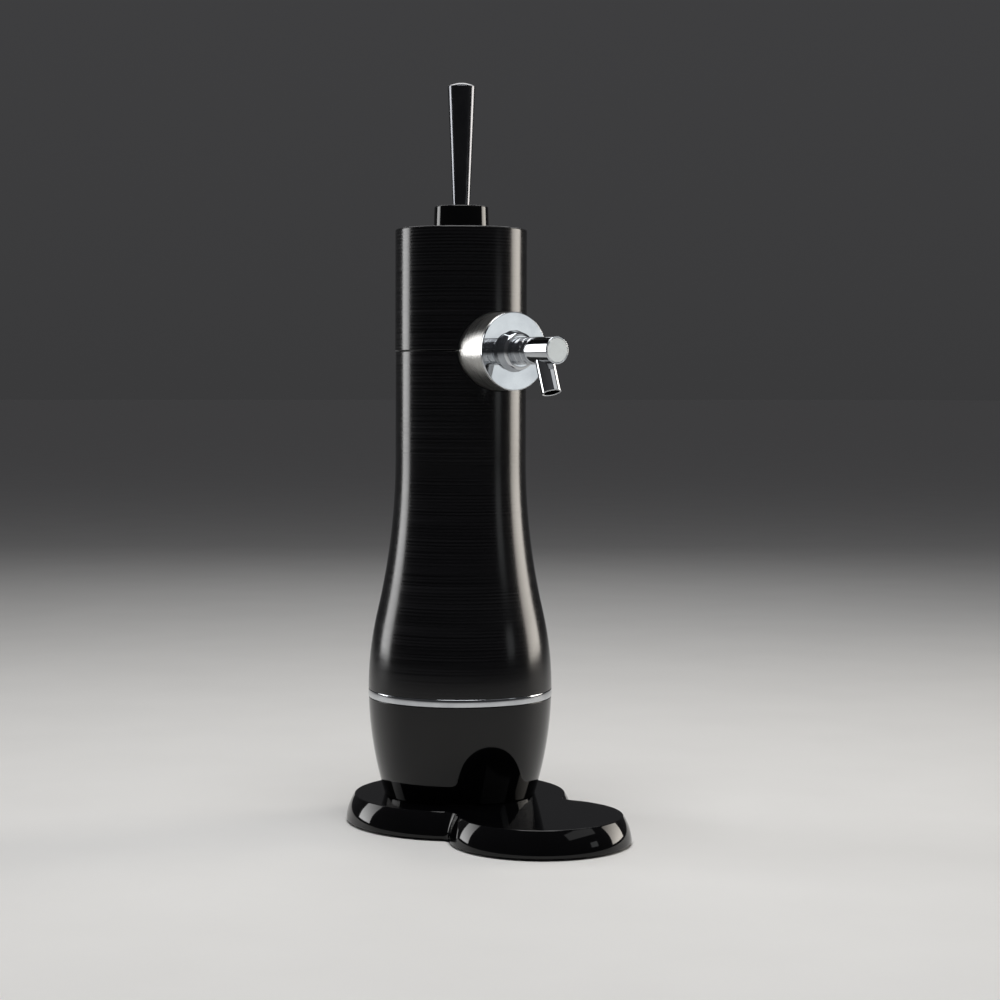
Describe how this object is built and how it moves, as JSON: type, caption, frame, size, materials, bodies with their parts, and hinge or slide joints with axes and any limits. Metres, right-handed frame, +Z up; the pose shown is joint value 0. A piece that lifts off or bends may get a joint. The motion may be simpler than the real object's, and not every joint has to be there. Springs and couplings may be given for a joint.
{
  "type": "ultrasonic beer pourer",
  "caption": "Bottle-shaped tabletop beer tower with a lift-off head, a chromed side spout, a rocking tap lever and a figure-eight foot that holds the glass under the nozzle.",
  "frame": {"origin": "centre of the foot's outline on the table, below the tower's front half", "axes": "+Z up; -Y is where the spout points, over the glass; +X is to the right seen from behind"},
  "size_m": [0.1678, 0.251, 0.545],
  "materials": {
    "foot_gloss": "high gloss",
    "cup_gloss": "high gloss",
    "tower_satin": "satin, fine horizontal brushing",
    "head_satin": "satin, fine horizontal brushing",
    "collar_gloss": "high gloss",
    "handle_gloss": "polished dark chrome",
    "ballast_steel": "raw",
    "inner_plastic": "moulded",
    "rubber_pads": "matt",
    "screw_zinc": "zinc plated",
    "ring_chrome": "polished",
    "pad_silicone": "matt",
    "housing_brushed": "brushed round",
    "face_chrome": "polished",
    "cap_satin": "satin",
    "inner_steel": "turned",
    "piezo_ceramic": "fired",
    "tube_silicone": "translucent",
    "white_nylon": "moulded",
    "bracket_zinc": "zinc plated",
    "spring_steel": "bright",
    "board_green": "solder mask",
    "switch_black": "moulded",
    "contact_brass": "rolled",
    "cell_jacket": "printed film"
  },
  "bodies": {
    "tower": {"foot_shell": "foot_gloss", "foot_ballast": "ballast_steel", "foot_cover": "inner_plastic", "foot_pad_1": "rubber_pads", "foot_pad_2": "rubber_pads", "foot_pad_3": "rubber_pads", "foot_pad_4": "rubber_pads", "foot_pad_5": "rubber_pads", "cover_screw_1": "screw_zinc", "cover_screw_2": "screw_zinc", "cover_screw_3": "screw_zinc", "cup_screw_1": "screw_zinc", "cup_screw_2": "screw_zinc", "cup_screw_3": "screw_zinc", "lower_cup": "cup_gloss", "trim_ring": "ring_chrome", "tower_shell": "tower_satin", "chamber_liner": "inner_plastic", "bottle_pad": "pad_silicone"},
    "head": {"head_shell": "head_satin", "head_chassis": "inner_plastic", "collar": "collar_gloss", "collar_screw_1": "screw_zinc", "collar_screw_2": "screw_zinc", "cell_tray": "white_nylon", "upper_contacts": "contact_brass", "cell_1": "cell_jacket", "cell_2": "cell_jacket", "spout_housing": "housing_brushed", "faceplate": "face_chrome", "spout_hub": "face_chrome", "ribbed_sleeve": "face_chrome", "barrel": "face_chrome", "nozzle": "face_chrome", "barrel_cap": "cap_satin", "transducer_mass": "inner_steel", "piezo_rings": "piezo_ceramic", "ultrasonic_horn": "inner_steel", "inlet_fitting": "white_nylon", "suction_tube": "tube_silicone", "pump_tube": "tube_silicone", "pump_housing": "white_nylon", "pump_cover": "white_nylon", "pump_motor": "bracket_zinc", "control_board": "board_green", "lever_bracket": "bracket_zinc", "tap_switch_front": "switch_black", "tap_switch_rear": "switch_black", "plunger_spring_front": "spring_steel", "plunger_spring_rear": "spring_steel", "lever_pin": "inner_steel"},
    "door": {"battery_door": "inner_plastic", "lower_contacts": "contact_brass"},
    "lever": {"lever_stem": "inner_steel", "handle": "handle_gloss"},
    "plunger_front": {"plunger_front": "white_nylon"},
    "plunger_rear": {"plunger_rear": "white_nylon"},
    "rotor": {"pump_rotor": "inner_steel"},
    "roller_1": {"pump_roller_1": "white_nylon"},
    "roller_2": {"pump_roller_2": "white_nylon"}
  },
  "joints": [
    {"name": "head_lift", "type": "slide", "parent": "tower", "child": "head", "axis": [0, 0, 1], "range_m": [0, 0.33]},
    {"name": "lever_tilt", "type": "hinge", "parent": "head", "child": "lever", "pos_m": [0, 0.0415, 0.4445], "axis": [1, 0, 0], "range_deg": [-10, 10], "stiffness_Nm_per_rad": 1.2},
    {"name": "plunger_front_travel", "type": "slide", "parent": "head", "child": "plunger_front", "axis": [0, 0, 1], "range_m": [-0.0022, 0.0022], "deforming": ["plunger_spring_front"]},
    {"name": "plunger_rear_travel", "type": "slide", "parent": "head", "child": "plunger_rear", "axis": [0, 0, 1], "range_m": [-0.0022, 0.0022], "deforming": ["plunger_spring_rear"]},
    {"name": "door_hinge", "type": "hinge", "parent": "head", "child": "door", "pos_m": [0, 0.05655, 0.3467], "axis": [-1, 0, 0], "range_deg": [0, 95]},
    {"name": "pump_spin", "type": "hinge", "parent": "head", "child": "rotor", "pos_m": [0, 0.0275, 0.38], "axis": [1, 0, 0], "continuous": true},
    {"name": "roller_1_spin", "type": "hinge", "parent": "rotor", "child": "roller_1", "pos_m": [0, 0.0342, 0.38], "axis": [1, 0, 0], "continuous": true},
    {"name": "roller_2_spin", "type": "hinge", "parent": "rotor", "child": "roller_2", "pos_m": [0, 0.0208, 0.38], "axis": [1, 0, 0], "continuous": true}
  ],
  "couplings": [
    {"joint": "plunger_front_travel", "follows": "lever_tilt", "m_per_rad": -0.012},
    {"joint": "plunger_rear_travel", "follows": "lever_tilt", "m_per_rad": 0.012},
    {"joint": "roller_1_spin", "follows": "pump_spin", "ratio": -2.75},
    {"joint": "roller_2_spin", "follows": "pump_spin", "ratio": -2.75}
  ]
}
